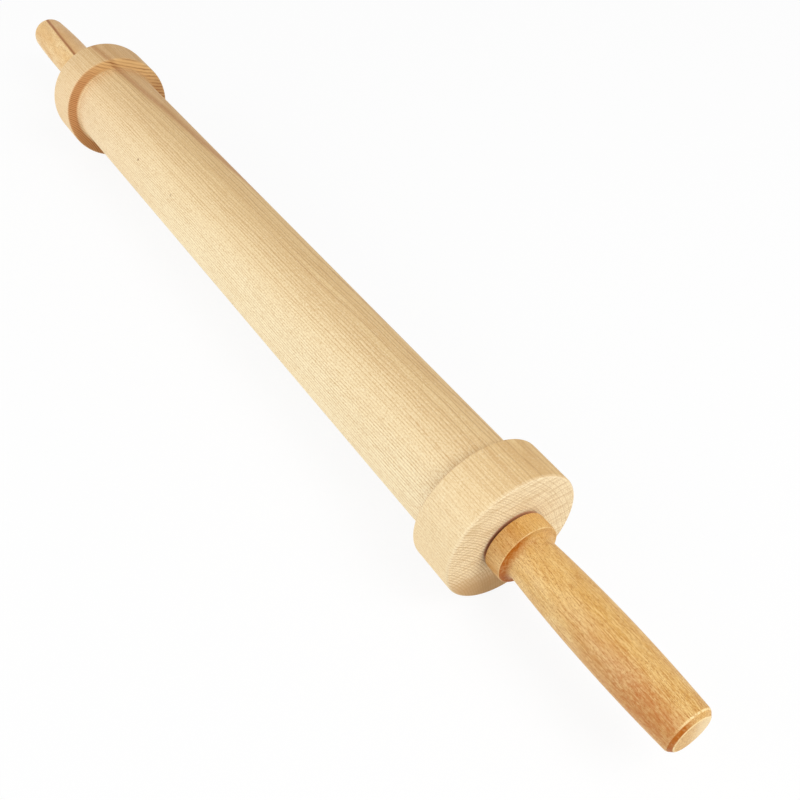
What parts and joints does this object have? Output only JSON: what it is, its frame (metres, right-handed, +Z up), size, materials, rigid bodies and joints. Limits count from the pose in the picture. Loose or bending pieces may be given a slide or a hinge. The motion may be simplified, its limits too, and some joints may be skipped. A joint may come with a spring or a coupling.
{
  "type": "rolling pin",
  "caption": "Wooden rolling pin with a raised gauge ring at each end of its barrel and varnished handles that turn on a steel axle in ball bearings.",
  "frame": {"origin": "on the surface that the rings stand on, halfway along the pin", "axes": "+X along the pin towards its right handle, +Z up"},
  "size_m": [0.6854, 0.0708, 0.0709],
  "materials": {
    "barrel_wood": "pale straight-grained wood, sanded, unvarnished, matte",
    "handle_wood": "honey-coloured wood under glossy clear varnish",
    "axle_steel": "turned bright steel",
    "bearing_steel": "ground and polished bearing steel",
    "shield_steel": "pressed steel sheet",
    "cage_nylon": "natural nylon",
    "insert_brass": "machined brass"
  },
  "bodies": {
    "barrel": {"barrel": "barrel_wood", "left_outer_race": "bearing_steel", "right_outer_race": "bearing_steel", "left_bearing_shields": "shield_steel", "right_bearing_shields": "shield_steel"},
    "handles": {"axle_rod": "axle_steel", "left_inner_race": "bearing_steel", "right_inner_race": "bearing_steel", "left_spacer": "axle_steel", "right_spacer": "axle_steel", "left_insert": "insert_brass", "right_insert": "insert_brass", "left_handle": "handle_wood", "right_handle": "handle_wood"},
    "left_cage": {"left_ball_cage": "cage_nylon", "left_bearing_balls": "bearing_steel"},
    "right_cage": {"right_ball_cage": "cage_nylon", "right_bearing_balls": "bearing_steel"}
  },
  "joints": [
    {"name": "handles_spin", "type": "hinge", "parent": "barrel", "child": "handles", "pos_m": [0, 0, 0.03544], "axis": [1, 0, 0], "continuous": true},
    {"name": "left_cage_spin", "type": "hinge", "parent": "barrel", "child": "left_cage", "pos_m": [-0.2301, 0, 0.03544], "axis": [1, 0, 0], "continuous": true},
    {"name": "right_cage_spin", "type": "hinge", "parent": "barrel", "child": "right_cage", "pos_m": [0.2301, 0, 0.03544], "axis": [1, 0, 0], "continuous": true}
  ],
  "couplings": [
    {"joint": "left_cage_spin", "follows": "handles_spin", "ratio": 0.36767},
    {"joint": "right_cage_spin", "follows": "handles_spin", "ratio": 0.36767}
  ]
}
